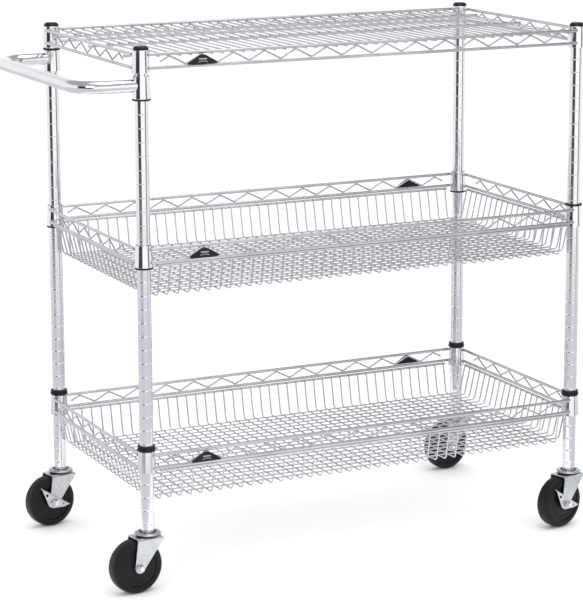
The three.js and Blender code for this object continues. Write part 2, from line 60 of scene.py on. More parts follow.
CORNERS = ("left_front", "left_back", "right_front", "right_back")
LEVELS = ("top", "middle", "bottom")
BRAKED_CORNERS = ("left_back", "right_front")

POST_RADIUS = 12.7
POST_WALL = 1.6
POST_BOTTOM = 117
POST_TOP = 1006.8
POST_EASE = 0.5
GROOVE_PITCH = 25.4
FIRST_GROOVE = 129.2
GROOVE_DEPTH = 0.2
GROOVE_HALF_WIDTH = 1.1
# Places across a groove, in half widths. The outer ones keep the wall flat between grooves.
GROOVE_STATIONS = (-1.6, -1, -0.5, 0, 0.5, 1, 1.6)

TOP_RAIL = {"top": 999.3, "middle": 645.3, "bottom": 259.5}
RAIL_PITCH = 24.5
RAIL_RADIUS = 3
RAIL_OFFSET = 14
RAIL_END_INSET = 8
TRUSS_RADIUS = 1.7
TRUSS_SINK = 0.5
TRUSS_BEND = 7
TRUSS_PERIOD = {"long": 62.7, "short": 64}
TRUSS_PEAKS = {"long": 14, "short": 6}
TRUSS_END_DROP = 0.6
BEAD_OFFSET = 1.6
BEAD_REACH = 4.5
BEAD_RADIUS = 2.4
BEAD_STATIONS = (-0.95, -0.75, -0.4, 0, 0.4, 0.75, 0.95)

COLLAR_HEIGHT = 41
COLLAR_RISE = 7.5
COLLAR_WALL = 1.5
COLLAR_ROOM = 0.3
COLLAR_LIP = (0.4, 0.5)
COLLAR_BOTTOM_BORE_LIP = (0.3, 0.3)
COLLAR_TOP_BORE_LIP = (0.2, 0.3)
SLEEVE_TOP_RADIUS = 13.9
SLEEVE_BOTTOM_RADIUS = 15.6
SLEEVE_BORE = 13
SLEEVE_SLIT = 5
SLEEVE_INSET = 1
RIM_RADIUS = 17.2
RIM_ROOM = 0.4
RIM_EASE = 0.6
RIM_STEP = 0.8
RIM_HEIGHT = {"top": 3, "middle": 3, "bottom": 10, "handle": 3}
PLAIN_RIM_HEIGHT = 6
TOP_RIM_CORNERS = {"middle": ("right_front",), "bottom": CORNERS}

WIRE_RADIUS = 1.5
WIRE_SPACING_X = 20.9
WIRE_COUNT_X = 42
WIRE_SPACING_Y = 21.33
WIRE_COUNT_Y = 20
RUNNER_RADIUS = 3
RUNNER_OFFSET = 176
BASKET_DEPTH = 90
BASKET_BAR_RADIUS = 2.5
BASKET_BAR_DROP = 6
BASKET_BAR_OFFSET = 10.3
BASKET_BAR_INSET = 22
BASKET_FOOT_INSET = 7
BASKET_BEND = 8
BASKET_WIRE_END_DROP = 0.6
DECK_WIRE_END_INSET = 0.5
WELD_SINK = 0.3

HANDLE_HEIGHT = 940
HANDLE_RISE = 3
HANDLE_REACH = 116
HANDLE_TUBE_RADIUS = 11.8
HANDLE_BEND = 85
HANDLE_BEND_STEPS = 20
HANDLE_ROOT_RADIUS = 15.4

# Room between a plug and its tube, and the small step where two surfaces of a piece meet.
FIT_ROOM = 0.3
SEAM = 0.1

CAP_BASE_RADIUS = 14.4
CAP_TOP_RADIUS = 12.8
CAP_HEIGHT = 7
CAP_BASE = POST_TOP + FIT_ROOM
CAP_PLUG_DEPTH = 14
CAP_EASE = 1.2
# Points of the cap's side from its base edge, and of its crown from its top edge.
CAP_SIDE = ((-0.9, 0), (0, 1), (0, 2.4))
CAP_CROWN = ((0, -2.2), (-2.4, -0.5))
CAP_FLAT_RADIUS = 4

WHEEL_RADIUS = 50.8
WHEEL_HALF_WIDTH = 16
TYRE_INNER_RADIUS = 37
# Points of one side of the tyre: out from its inner edge or in from its tread, and back from
# the side of the wheel.
TYRE_BEAD = ((0, 1.2), (1, 0.4), (3, 0))
TYRE_SHOULDER = ((9, 0), (8.5, 0.4), (8, 0.1), (6.5, 0.4), (3.4, 1.7), (1.2, 4.4), (0.3, 7.6),
                 (0, 11))
HUB_RADIUS = 13
HUB_RISE = 1.4
# Points of the hub's edge and of the dish of the core: out from the hub's radius or in from
# the tyre, and back from the side of the wheel.
HUB_EDGE = ((-1, -HUB_RISE), (0, -0.6), (0.6, 2.4))
CORE_DISH = ((9, 3), (8, 2.2), (1.6, 1.8), (0.2, 2.4))
CASTER_TRAIL = 27
AXLE_RADIUS = 4.76
AXLE_BORE = 5.3

BOLT_REACH = 10
# Points of the bolt's rounded end: in from its side, and out from the fork.
BOLT_TIP = ((0, 8.4), (1.2, 9.8))
HEX_RADIUS = 7.5
HEX_EASE = (1, 0.6)
HEX_REACH = 5
WASHER_RADIUS = 9.5
WASHER_HEIGHT = 1.2
WASHER_EASE = 0.3
SHEET = 2.5
SHEET_EASE = 0.35
PRESSED_EASE = 0.8

FORK_TOP = 106.1
FORK_SIDE = 20.5
FORK_FRONT = 31
FORK_BACK = 24
FORK_CROWN_RADIUS = 25
FORK_FOOT_RADIUS = 10
FORK_FOLD = 3
RACE_RADIUS = 22
RACE_HEIGHT = 2.7
RACE_BORE_ROOM = 0.6
CUP_BOTTOM = 109.2
CUP_RADIUS = 25
CUP_HEIGHT = 3.6
CUP_EDGE = 1.6
CUP_CROWN_RADIUS = 21
CUP_MOUTH_RADIUS = 16.5
CUP_RECESS = 2.4
NECK_RADIUS = 12.6
STEM_DEPTH = 48
DARK_RING_RADIUS = 16.2
DARK_RING_EDGE = (0.4, 0.9)
DARK_RING_RISE = 1.3
KINGPIN_RADIUS = 7
RIVET_GAP = 0.4
# Profile of the rivet head under the fork, down from its flat top.
RIVET_HEAD = ((0, 2.2), (5, 2), (8.6, 1.2), (10, 0))

BRAKE_SHEET = 2
BRAKE_ROOM = 0.3
BRAKE_FACE = 20.8
BRAKE_CORNER = 3
BRAKE_EASE = 0.3
BRAKE_FOLD = 2
BRAKE_FLANGE = 8
BRAKE_WING = ((-30, 33), (-14, -6), (-6, -11), (19, -12), (34, -9))
BRAKE_WINDOW = (-18, 17)
BRAKE_WINDOW_HALF = 2.6
BRAKE_PIN_HOLE = (19, -6)
BRAKE_PIN_HOLE_RADIUS = 1.6

LABEL_HALF_WIDTH = 33
LABEL_HEIGHT = 18.4
LABEL_THICKNESS = 2.5
LABEL_FACE = 248.8
LABEL_PEAK = 1
LABEL_TIP = 2
LABEL_GAP = 0.4
LABEL_EASE = 0.6
LABEL_CORNERS = (1.5, 1.5, 16)
MARK_THICKNESS = 0.3
MARK_EASE = 0.05
MARK_BAR = ((-8, -10.2), (8, -10.2), (8, -7.6), (-8, -7.6))
MARK_BAR_CORNER = 1
SWEEP_START = (-9, -15.2)
SWEEP_STEP = 3
SWEEP_STEPS = 6
SWEEP_RISE = 1.6
SWEEP_WIDTH = 1.3

WIRE_SIDES = 12
BAR_SIDES = 16
RAIL_SIDES = 20
BOLT_SIDES = 28
WASHER_SIDES = 32
TUBE_SIDES = 48
WHEEL_SIDES = 96
HOLE_SIDES = 20
PIN_HOLE_SIDES = 12
BEND_STEPS = 7
CORNER_STEPS = 4
FOLD_STEPS = 6
FOOT_STEPS = 12
CROWN_STEPS = 6
FOLD_REACH = 40
# A bend takes up to this share of the straight runs beside it.
BEND_SHARE = 0.48
WIRE_CHAMFER = 0.18
SHARPEST_MITRE = 0.3
ON_AXIS = 1e-6
CUT_TOLERANCE = 1e-4
SMOOTH_ANGLE = math.radians(32)

CAMERA_PLACE = (-2081, -4232, 1497)
CAMERA_YAW = 26.17
CAMERA_PITCH = 10.77
CAMERA_ROLL = 0.07
CAMERA_LENS = 143.6
CAMERA_SHIFT = (-0.036, -0.12)
CAMERA_SENSOR = 36
CAMERA_CLIP = (0.1, 60)

FLOOR_RADIUS = 800
FLOOR_TOP = -0.2
FLOOR_BOTTOM = -4
FLOOR_SIDES = 96

BACKDROP_LIGHT = 1.1
SOFT_LIGHT = 1.34
ROOM_LIGHT = (1.06, 1.06, 1.08)
ROOM_CEILING = (0.46, 0.46, 0.485)
ROOM_HORIZON = 0.3
ROOM_CEILING_BLEND = 0.25
ROOM_GROUND = (0.77, 0.775, 0.82)
ROOM_GROUND_TOP = -0.18
ROOM_BLEND = 0.03
ROOM_DARK = (0.045, 0.045, 0.055)
ROOM_WARM = (1.27, 1.26, 1.235)
ROOM_BROWN = (0.10, 0.085, 0.07)
# Colours of the room around the horizon, by degrees from the camera's side towards its right.
ROOM_BANDS = ((-64, ROOM_LIGHT), (-58, ROOM_DARK), (-13, ROOM_DARK), (-9, ROOM_WARM),
              (56, ROOM_WARM), (60, ROOM_BROWN), (73, ROOM_BROWN), (77, ROOM_LIGHT))
# Place, target and size of each softbox in metres, and its power in watts.
SOFTBOXES = {
    "overhead_softbox": ((0.2, -0.4, 3.4), (0, 0, 0), (2.6, 2.0), 36),
    "front_softbox": ((-3.2, -2.6, 2.4), (0, 0, 0.5), (1.6, 2.0), 22),
}

# ---- Places read from the frame ------------------------------------------------------------


def axis_of(node):
    """Upright middle line of a CAD node, as a point at height 0, in metres."""
    low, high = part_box(node)
    return Vector(((low.x + high.x) / 2, (low.y + high.y) / 2, 0))


post_places = {corner: axis_of(f"post_{corner}") for corner in CORNERS}
cart_middle = sum(post_places.values(), Vector()) / len(CORNERS)
CART_PLACE = Matrix.Translation(cart_middle)
HALF_X = (post_places["right_front"].x - cart_middle.x) / MM
HALF_Y = (post_places["right_back"].y - cart_middle.y) / MM
posts = {corner: (place - cart_middle) / MM for corner, place in post_places.items()}
joints = {joint["name"]: joint for joint in frame["joints"]}


def caster_place(corner):
    """Frame of a caster around its swivel axis, with the wheel trailing along -X."""
    axle = joints[f"wheel_spin_{corner}"]["axis"]
    heading = math.atan2(-axle[0], axle[1])
    return Matrix.Translation(post_places[corner]) @ Matrix.Rotation(heading, 4, "Z")


def axle_place(corner):
    """Frame of a wheel around its axle, with the axle along Y."""
    return caster_place(corner) @ Matrix.Translation(Vector((-CASTER_TRAIL, 0, WHEEL_RADIUS)) * MM)


# Turns what was made around Z to lie along the axle, with its upper side to the front.
LAY_FLAT = Matrix.Rotation(math.pi / 2, 4, "X")

# ---- Mesh helpers --------------------------------------------------------------------------


class Shell:
    """Points and faces of one piece, in millimetres around the piece's own origin."""

    def __init__(self):
        self.points = []
        self.faces = []

    def ring(self, points):
        start = len(self.points)
        self.points.extend(Vector(point) for point in points)
        return list(range(start, len(self.points)))

    def band(self, first, second, closed=True):
        """Faces between two rings. A ring of one point makes a fan."""
        count = max(len(first), len(second))
        for i in range(count if closed else count - 1):
            j = (i + 1) % count
            corners = [first[i % len(first)], first[j % len(first)],
                       second[j % len(second)], second[i % len(second)]]
            self.faces.append(tuple(dict.fromkeys(corners)))

    def cap(self, ring):
        self.faces.append(tuple(ring))

    def moved(self, place):
        self.points = [place @ point for point in self.points]
        return self

    def add(self, other):
        start = len(self.points)
        self.points.extend(other.points)
        self.faces.extend(tuple(i + start for i in face) for face in other.faces)


def rounded(corners, radius, steps=BEND_STEPS):
    """The same path with each corner replaced by an arc, of one radius or a radius for each."""
    corners = [Vector(corner) for corner in corners]
    radii = radius if isinstance(radius, (list, tuple)) else [radius] * (len(corners) - 2)
    path = [corners[0]]
    for before, corner, after, radius in zip(corners, corners[1:], corners[2:], radii):
        into = (corner - before).normalized()
        out = (after - corner).normalized()
        turn = into.angle(out)
        room = BEND_SHARE * min((corner - before).length, (after - corner).length)
        reach = min(radius * math.tan(turn / 2), room)
        start = corner - into * reach
        axis = into.cross(out).normalized()
        centre = start + axis.cross(into) * (reach / math.tan(turn / 2))
        for step in range(steps + 1):
            spoke = Matrix.Rotation(turn * step / steps, 3, axis) @ (start - centre)
            path.append(centre + spoke)
    path.append(corners[-1])
    return path


def soft_profile(points, radius):
    """Profile of (radius, height) points with its corners rounded."""
    path = rounded([(across, 0, height) for across, height in points], radius, CORNER_STEPS)
    return [(point.x, point.z) for point in path]


def wire(shell, path, radius, sides=WIRE_SIDES):
    """Round wire along a path, with slightly chamfered ends. Returns its rings."""
    path = [Vector(point) for point in path]
    runs = [(after - before).normalized() for before, after in zip(path, path[1:])]
    tangents = [runs[0]] + [(a + b).normalized() for a, b in zip(runs, runs[1:])] + [runs[-1]]
    chamfer = radius * WIRE_CHAMFER
    stations = [(path[0], tangents[0], radius - chamfer)]
    stations.append((path[0] + tangents[0] * chamfer, tangents[0], radius))
    stations.extend(zip(path[1:-1], tangents[1:-1], [radius] * (len(path) - 2)))
    stations.append((path[-1] - tangents[-1] * chamfer, tangents[-1], radius))
    stations.append((path[-1], tangents[-1], radius - chamfer))
    across = tangents[0].orthogonal().normalized()
    previous = tangents[0]
    rings = []
    for middle, tangent, reach in stations:
        across = previous.rotation_difference(tangent) @ across
        previous = tangent
        beside = tangent.cross(across)
        turns = [2 * math.pi * i / sides for i in range(sides)]
        rings.append(shell.ring(
            middle + (across * math.cos(turn) + beside * math.sin(turn)) * reach for turn in turns))
    for first, second in zip(rings, rings[1:]):
        shell.band(first, second)
    shell.cap(rings[0])
    shell.cap(rings[-1])
    return rings


def turned(shell, profile, sides=TUBE_SIDES, middle=(0, 0, 0), closed=False):
    """Body turned about Z. A closed profile doesn't touch the axis and makes a hollow ring."""
    middle = Vector(middle)
    rings = []
    for across, height in profile:
        if across < ON_AXIS:
            rings.append(shell.ring([middle + Vector((0, 0, height))]))
            continue
        turns = [2 * math.pi * i / sides for i in range(sides)]
        rings.append(shell.ring(
            middle + Vector((across * math.cos(turn), across * math.sin(turn), height))
            for turn in turns))
    pairs = list(zip(rings, rings[1:]))
    if closed:
        pairs.append((rings[-1], rings[0]))
    for first, second in pairs:
        shell.band(first, second)


def half_turned(shell, profile, start, sweep, sides, middle):
    """Part of a ring with a closed profile, from one angle over a sweep, with closed ends."""
    middle = Vector(middle)
    sections = []
    for step in range(sides + 1):
        turn = start + sweep * step / sides
        sections.append(shell.ring(
            middle + Vector((across * math.cos(turn), across * math.sin(turn), height))
            for across, height in profile))
    for first, second in zip(sections, sections[1:]):
        shell.band(first, second)
    shell.cap(sections[0])
    shell.cap(sections[-1])


def inset(loop, distance):
    """A loop of flat points moved to its left, which is inward for an outline."""
    result = []
    for i, point in enumerate(loop):
        before = (point - loop[i - 1]).normalized()
        after = (loop[(i + 1) % len(loop)] - point).normalized()
        left = Vector((-before.y - after.y, before.x + after.x))
        length = max(left.length_squared / 2, SHARPEST_MITRE)
        result.append(point + left * (distance / length))
    return result


def plate(shell, outline, thickness, bevel, holes=()):
    """Flat plate around height 0 with bevelled edges. Holes run the other way round."""
    loops = [[Vector(point) for point in loop] for loop in (outline, *holes)]
    half = thickness / 2
    levels = ((-half, bevel), (bevel - half, 0), (half - bevel, 0), (half, bevel))
    ends = {0: [], len(levels) - 1: []}
    for loop in loops:
        rings = []
        for height, shift in levels:
            flat = inset(loop, shift) if shift else loop
            rings.append(shell.ring((point.x, point.y, height) for point in flat))
        for first, second in zip(rings, rings[1:]):
            shell.band(first, second)
        for level, found in ends.items():
            found.append(rings[level])
    for found in ends.values():
        order = [i for ring in found for i in ring]
        sides = [[shell.points[i] for i in ring] for ring in found]
        shell.faces.extend(tuple(order[i] for i in face) for face in tessellate_polygon(sides))


def hole(centre, radius, steps=HOLE_SIDES):
    """Round hole in a plate, which runs clockwise."""
    turns = [-2 * math.pi * i / steps for i in range(steps)]
    return [(centre[0] + radius * math.cos(turn), centre[1] + radius * math.sin(turn))
            for turn in turns]


def flat_rounded(corners, radius):
    """Closed flat outline with rounded corners."""
    loop = [(x, y, 0) for x, y in corners]
    path = rounded([loop[-1], *loop, loop[0]], radius, CORNER_STEPS)
    return [(point.x, point.y) for point in path[1:-1]]


def folded(shell, start, end, radius, angle):
    """Bends the part of a flat plate left of the line from start to end, down by an angle."""
    mesh = bpy.data.meshes.new("fold")
    mesh.from_pydata(shell.points, [], shell.faces)
    work = bmesh.new()
    work.from_mesh(mesh)
    bpy.data.meshes.remove(mesh)
    start = Vector((*start, 0))
    along = (Vector((*end, 0)) - start).normalized()
    beyond = Vector((-along.y, along.x, 0))
    for step in range(FOLD_STEPS + 1):
        cut = start + beyond * (radius * angle * step / FOLD_STEPS)
        every = work.verts[:] + work.edges[:] + work.faces[:]
        bmesh.ops.bisect_plane(work, geom=every, plane_co=cut, plane_no=beyond,
                               dist=CUT_TOLERANCE)
    for vertex in work.verts:
        past = (vertex.co - start).dot(beyond)
        if past <= 0:
            continue
        turn = min(past / radius, angle)
        straight = past - radius * turn
        reach = radius + vertex.co.z
        foot = vertex.co - beyond * past
        side = reach * math.sin(turn) + straight * math.cos(turn)
        foot.z = -radius + reach * math.cos(turn) - straight * math.sin(turn)
        vertex.co = foot + beyond * side
    result = Shell()
    work.verts.index_update()
    result.ring(vertex.co for vertex in work.verts)
    result.faces = [tuple(vertex.index for vertex in face.verts) for face in work.faces]
    work.free()
    return result


def make_object(name, shell, material):
    """Turns a shell into a smooth-shaded object, in metres."""
    mesh = bpy.data.meshes.new(name)
    mesh.from_pydata([point * MM for point in shell.points], [], shell.faces)
    work = bmesh.new()
    work.from_mesh(mesh)
    bmesh.ops.recalc_face_normals(work, faces=work.faces)
    work.to_mesh(mesh)
    work.free()
    mesh.materials.append(material)
    mesh.shade_smooth()
    mesh.set_sharp_from_angle(angle=SMOOTH_ANGLE)
    thing = bpy.data.objects.new(name, mesh)
    bpy.context.scene.collection.objects.link(thing)
    return thing


def make_piece(name, shell, finish, body, place=CART_PLACE, replaces=()):
    """Makes an object that rides on a CAD body and hides the CAD nodes that it replaces."""
    piece = make_object(name, shell, materials[finish])
    piece.matrix_world = place
    if replaces:
        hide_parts(*replaces)
    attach(piece, body)


# ---- Materials -----------------------------------------------------------------------------


# Noise stays mostly within this range, so it is what the looks spread over their values.
NOISE_RANGE = (0.3, 0.7)


class Look:
    """Node material built around one Principled shader."""

    def __init__(self, name):
        self.material = bpy.data.materials.new(name)
        self.material.use_nodes = True
        self.tree = self.material.node_tree
        self.shader = self.tree.nodes["Principled BSDF"]
        self.place = self.tree.nodes.new("ShaderNodeTexCoord").outputs["Object"]

    def noise(self, scale, detail):
        """Noise value over the piece, at a scale in patches per metre."""
        texture = self.tree.nodes.new("ShaderNodeTexNoise")
        texture.inputs["Scale"].default_value = scale
        texture.inputs["Detail"].default_value = detail
        self.tree.links.new(self.place, texture.inputs["Vector"])
        return texture.outputs["Fac"]

    def spread(self, value, low, high):
        """Maps the middle of a noise value to a range for one of the shader's inputs."""
        node = self.tree.nodes.new("ShaderNodeMapRange")
        node.inputs["From Min"].default_value, node.inputs["From Max"].default_value = NOISE_RANGE
        node.inputs["To Min"].default_value = low
        node.inputs["To Max"].default_value = high
        self.tree.links.new(value, node.inputs["Value"])
        return node.outputs["Result"]

    def colours(self, value, first, second):
        """Blends the base colour between two colours."""
        ramp = self.tree.nodes.new("ShaderNodeValToRGB")
        for element, place, colour in zip(ramp.color_ramp.elements, NOISE_RANGE, (first, second)):
            element.position = place
            element.color = (*colour, 1)
        self.tree.links.new(value, ramp.inputs["Fac"])
        self.tree.links.new(ramp.outputs["Color"], self.shader.inputs["Base Color"])

    def roughness(self, value, low, high):
        self.tree.links.new(self.spread(value, low, high), self.shader.inputs["Roughness"])

    def bump(self, value, height, strength):
        node = self.tree.nodes.new("ShaderNodeBump")
        node.inputs["Distance"].default_value = height * MM
        node.inputs["Strength"].default_value = strength
        self.tree.links.new(value, node.inputs["Height"])
        self.tree.links.new(node.outputs["Normal"], self.shader.inputs["Normal"])


def chrome_plate():
    """Bright plate: cool grey mirror with faint cloudy patches and the ripple of drawn steel."""
    look = Look("chrome_plate")
    look.shader.inputs["Metallic"].default_value = 1
    look.colours(look.noise(9, 5), (0.75, 0.755, 0.775), (0.82, 0.825, 0.84))
    look.roughness(look.noise(60, 6), 0.07, 0.16)
    look.bump(look.noise(240, 3), 0.05, 0.12)
    return look.material


def darkened_chrome():
    """Chrome made darker than chrome_plate, as painted shade for the darker reflections along thin
    wires; the axle nuts and washers use it too.
    """
    look = Look("darkened_chrome")
    look.shader.inputs["Metallic"].default_value = 1
    # Darker base colour: painted shade standing in for the dim reflections that thin chrome wires
    # show.
    look.colours(look.noise(14, 5), (0.51, 0.515, 0.54), (0.63, 0.635, 0.66))
    look.roughness(look.noise(90, 6), 0.12, 0.24)
    look.bump(look.noise(300, 3), 0.05, 0.15)
    return look.material


def zinc_plate():
    """Pressed steel with a satin zinc finish, cloudy and slightly uneven."""
    look = Look("zinc_plate")
    look.shader.inputs["Metallic"].default_value = 1
    look.colours(look.noise(70, 6), (0.54, 0.55, 0.58), (0.63, 0.64, 0.665))
    look.roughness(look.noise(160, 6), 0.24, 0.34)
    look.bump(look.noise(520, 4), 0.04, 0.12)
    return look.material


def wheel_rubber():
    """Black moulded rubber with dusty lighter patches and a fine grain."""
    look = Look("wheel_rubber")
    look.colours(look.noise(38, 7), (0.0045, 0.0042, 0.005), (0.009, 0.0085, 0.0098))
    look.roughness(look.noise(110, 6), 0.34, 0.5)
    look.bump(look.noise(900, 3), 0.12, 0.35)
    look.shader.inputs["Specular IOR Level"].default_value = 0.22
    return look.material


def black_plastic():
    """Black moulded plastic with a soft sheen and a faint moulded grain."""
    look = Look("black_plastic")
    look.colours(look.noise(45, 4), (0.005, 0.005, 0.0055), (0.010, 0.010, 0.011))
    look.roughness(look.noise(150, 5), 0.30, 0.46)
    look.bump(look.noise(1100, 2), 0.06, 0.3)
    look.shader.inputs["Specular IOR Level"].default_value = 0.28
    return look.material


def label_ink():
    """Pale printed ink, slightly uneven."""
    look = Look("label_ink")
    look.colours(look.noise(400, 4), (0.22, 0.22, 0.23), (0.36, 0.36, 0.37))
    look.roughness(look.noise(300, 3), 0.5, 0.7)
    return look.material


def pale_floor():
    """Matt pale studio floor."""
    look = Look("pale_floor")
    look.colours(look.noise(3, 3), (0.86, 0.865, 0.87), (0.89, 0.89, 0.895))
    look.roughness(look.noise(20, 3), 0.75, 0.85)
    look.shader.inputs["Specular IOR Level"].default_value = 0.2
    return look.material


materials = {
    "chrome_plate": chrome_plate(),
    "darkened_chrome": darkened_chrome(),
    "zinc_plate": zinc_plate(),
    "wheel_rubber": wheel_rubber(),
    "black_plastic": black_plastic(),
    "label_ink": label_ink(),
    "pale_floor": pale_floor(),
}

# ---- Posts, caps and sleeves ---------------------------------------------------------------


def groove_depth(station):
    """Depth of a round groove at a place across it, from -1 to 1 in half widths."""
    within = max(-1, min(1, station))
    return GROOVE_DEPTH * (1 + math.cos(math.pi * within)) / 2


def make_post(corner):
    eased = POST_RADIUS - POST_EASE
    outside = [(eased, POST_BOTTOM), (POST_RADIUS, POST_BOTTOM + POST_EASE)]
    count = int((POST_TOP - FIRST_GROOVE) // GROOVE_PITCH) + 1
    for index in range(count):
        groove = FIRST_GROOVE + GROOVE_PITCH * index
        for station in GROOVE_STATIONS:
            outside.append((POST_RADIUS - groove_depth(station),
                            groove + GROOVE_HALF_WIDTH * station))
    outside.extend([(POST_RADIUS, POST_TOP - POST_EASE), (eased, POST_TOP)])
    bore = POST_RADIUS - POST_WALL
    profile = [(bore, POST_BOTTOM), *outside, (bore, POST_TOP)]
    shell = Shell()
    turned(shell, profile, middle=posts[corner], closed=True)
    make_piece(f"grooved_post_{corner}", shell, "chrome_plate", "cart", replaces=[f"post_{corner}"])


def make_cap(corner):
    plug = POST_RADIUS - POST_WALL - FIT_ROOM
    foot = CAP_BASE - CAP_PLUG_DEPTH
    top = CAP_BASE + CAP_HEIGHT
    side = [(CAP_BASE_RADIUS + across, CAP_BASE + height) for across, height in CAP_SIDE]
    crown = [(CAP_TOP_RADIUS + across, top + height) for across, height in CAP_CROWN]
    dome = soft_profile([(plug + SEAM, CAP_BASE), *side, *crown, (CAP_FLAT_RADIUS, top)], CAP_EASE)
    shell = Shell()
    turned(shell, [(0, foot), (plug, foot), (plug, CAP_BASE), *dome, (0, top)],
           middle=posts[corner])
    make_piece(f"domed_cap_{corner}", shell, "black_plastic", "cart",
               replaces=[f"post_cap_{corner}"])


def rim(low, high, radius):
    """Side of a rim with eased edges, from its lower edge to its upper one."""
    eased = radius - RIM_EASE
    return [(eased, low), (radius, low + RIM_EASE), (radius, high - RIM_EASE), (eased, high)]


def make_sleeve(name, corner, low, rim_end, rim_height):
    """Two tapered half shells around the post, with the rim that shows past one collar end."""
    high = low + COLLAR_HEIGHT
    if rim_end == "bottom":
        rim_top = low - RIM_ROOM
        foot = rim_top - rim_height
        lower = [*rim(foot, rim_top, RIM_RADIUS), (SLEEVE_BOTTOM_RADIUS, rim_top)]
    else:
        foot = low + SLEEVE_INSET
        lower = [(SLEEVE_BOTTOM_RADIUS, foot)]
    if rim_end == "top":
        base = high + RIM_ROOM
        top = base + rim_height
        waist = base + rim_height / 2
        upper = [(SLEEVE_TOP_RADIUS, base)]
        if rim_height > PLAIN_RIM_HEIGHT:
            upper.extend([*rim(base, waist, RIM_RADIUS), *rim(waist, top, RIM_RADIUS - RIM_STEP)])
        else:
            upper.extend(rim(base, top, RIM_RADIUS))
    else:
        top = high - SLEEVE_INSET
        upper = [(SLEEVE_TOP_RADIUS, top)]
    profile = [(SLEEVE_BORE, foot), *lower, *upper, (SLEEVE_BORE, top)]
    slit = math.radians(SLEEVE_SLIT)
    shell = Shell()
    for start in (slit / 2, math.pi + slit / 2):
        half_turned(shell, profile, start, math.pi - slit, TUBE_SIDES // 2, posts[corner])
    make_piece(f"split_{name}", shell, "black_plastic", "cart", replaces=[name])


def collar_low(rail_height):
    """Lower end of the collars of a shelf or basket, from the height of its top rail."""
    return rail_height + COLLAR_RISE - COLLAR_HEIGHT


def make_shelf_sleeve(level, corner):
    rim_end = "top" if corner in TOP_RIM_CORNERS.get(level, ()) else "bottom"
    if level == "top":
        rim_end = "none"
    make_sleeve(f"sleeve_{level}_{corner}", corner, collar_low(TOP_RAIL[level]), rim_end,
                RIM_HEIGHT[level])


# ---- Collars, rails and trusses ------------------------------------------------------------


def collar(shell, middle, low):
    """Tapered sleeve of sheet steel with softened lips."""
    high = low + COLLAR_HEIGHT
    bottom = SLEEVE_BOTTOM_RADIUS + COLLAR_ROOM
    top = SLEEVE_TOP_RADIUS + COLLAR_ROOM
    inward, upward = COLLAR_LIP
    bottom_outward, bottom_upward = COLLAR_BOTTOM_BORE_LIP
    top_outward, top_downward = COLLAR_TOP_BORE_LIP
    profile = [
        (bottom + bottom_outward, low), (bottom + COLLAR_WALL - inward, low),
        (bottom + COLLAR_WALL, low + upward), (top + COLLAR_WALL, high - upward),
        (top + COLLAR_WALL - inward, high), (top + top_outward, high),
        (top, high - top_downward), (bottom, low + bottom_upward),
    ]
    turned(shell, profile, middle=middle, closed=True)


def weld_bead(shell, middle):
    """Small swelling of weld metal, longest along X."""
    rings = [(BEAD_RADIUS * math.sqrt(1 - station * station), station * BEAD_REACH)
             for station in BEAD_STATIONS]
    bead = Shell()
    turned(bead, [(0, -BEAD_REACH), *rings, (0, BEAD_REACH)], sides=WIRE_SIDES)
    turn = Vector((0, 0, 1)).rotation_difference(Vector((1, 0, 0))).to_matrix().to_4x4()
    shell.add(bead.moved(Matrix.Translation(middle) @ turn))


def spaced(count, spacing):
    """Places of evenly spaced wires or bends about the middle."""
    return [(i - (count - 1) / 2) * spacing for i in range(count)]


def truss_side(shell, kind, half_span, lower_rail, place):
    """Two rails along X with the bent truss wire between them, moved by a matrix."""
    side = Shell()
    end = half_span - RAIL_END_INSET
    upper_rail = lower_rail + RAIL_PITCH
    for height in (lower_rail, upper_rail):
        wire(side, [(-end, 0, height), (end, 0, height)], RAIL_RADIUS, sides=RAIL_SIDES)
        for tip in (-end, end):
            weld_bead(side, (tip, BEAD_OFFSET, height))
    contact = RAIL_RADIUS + TRUSS_RADIUS - TRUSS_SINK
    low = lower_rail + contact
    high = upper_rail - contact
    period = TRUSS_PERIOD[kind]
    peaks = spaced(TRUSS_PEAKS[kind], period)
    end_run = TRUSS_END_DROP * period / 2
    end_height = high - TRUSS_END_DROP * (high - low)
    corners = [(peaks[0] - end_run, end_height)]
    for peak in peaks[:-1]:
        corners.extend([(peak, high), (peak + period / 2, low)])
    corners.extend([(peaks[-1], high), (peaks[-1] + end_run, end_height)])
    path = rounded([(x, 0, z) for x, z in corners], TRUSS_BEND)
    wire(side, path, TRUSS_RADIUS)
    shell.add(side.moved(place))


def make_frame(level):
    """Corner collars of a shelf or basket, and its four truss sides."""
    collars = Shell()
    for corner in CORNERS:
        collar(collars, posts[corner], collar_low(TOP_RAIL[level]))
    make_piece(f"{level}_corner_collars", collars, "chrome_plate", "cart")
    shell = Shell()
    lower_rail = TOP_RAIL[level] - RAIL_PITCH
    sides = (("long", HALF_X, HALF_Y, 0), ("short", HALF_Y, HALF_X, math.pi / 2))
    for turn in (0, math.pi):
        for kind, half_span, distance, quarter in sides:
            place = (Matrix.Rotation(turn + quarter, 4, "Z")
                     @ Matrix.Translation((0, -distance - RAIL_OFFSET, 0)))
            truss_side(shell, kind, half_span, lower_rail, place)
    node = "top_shelf_frame" if level == "top" else f"{level}_basket_frame"
    make_piece(f"{level}_truss_frame", shell, "darkened_chrome", "cart", replaces=[node])


# ---- Deck and baskets ----------------------------------------------------------------------


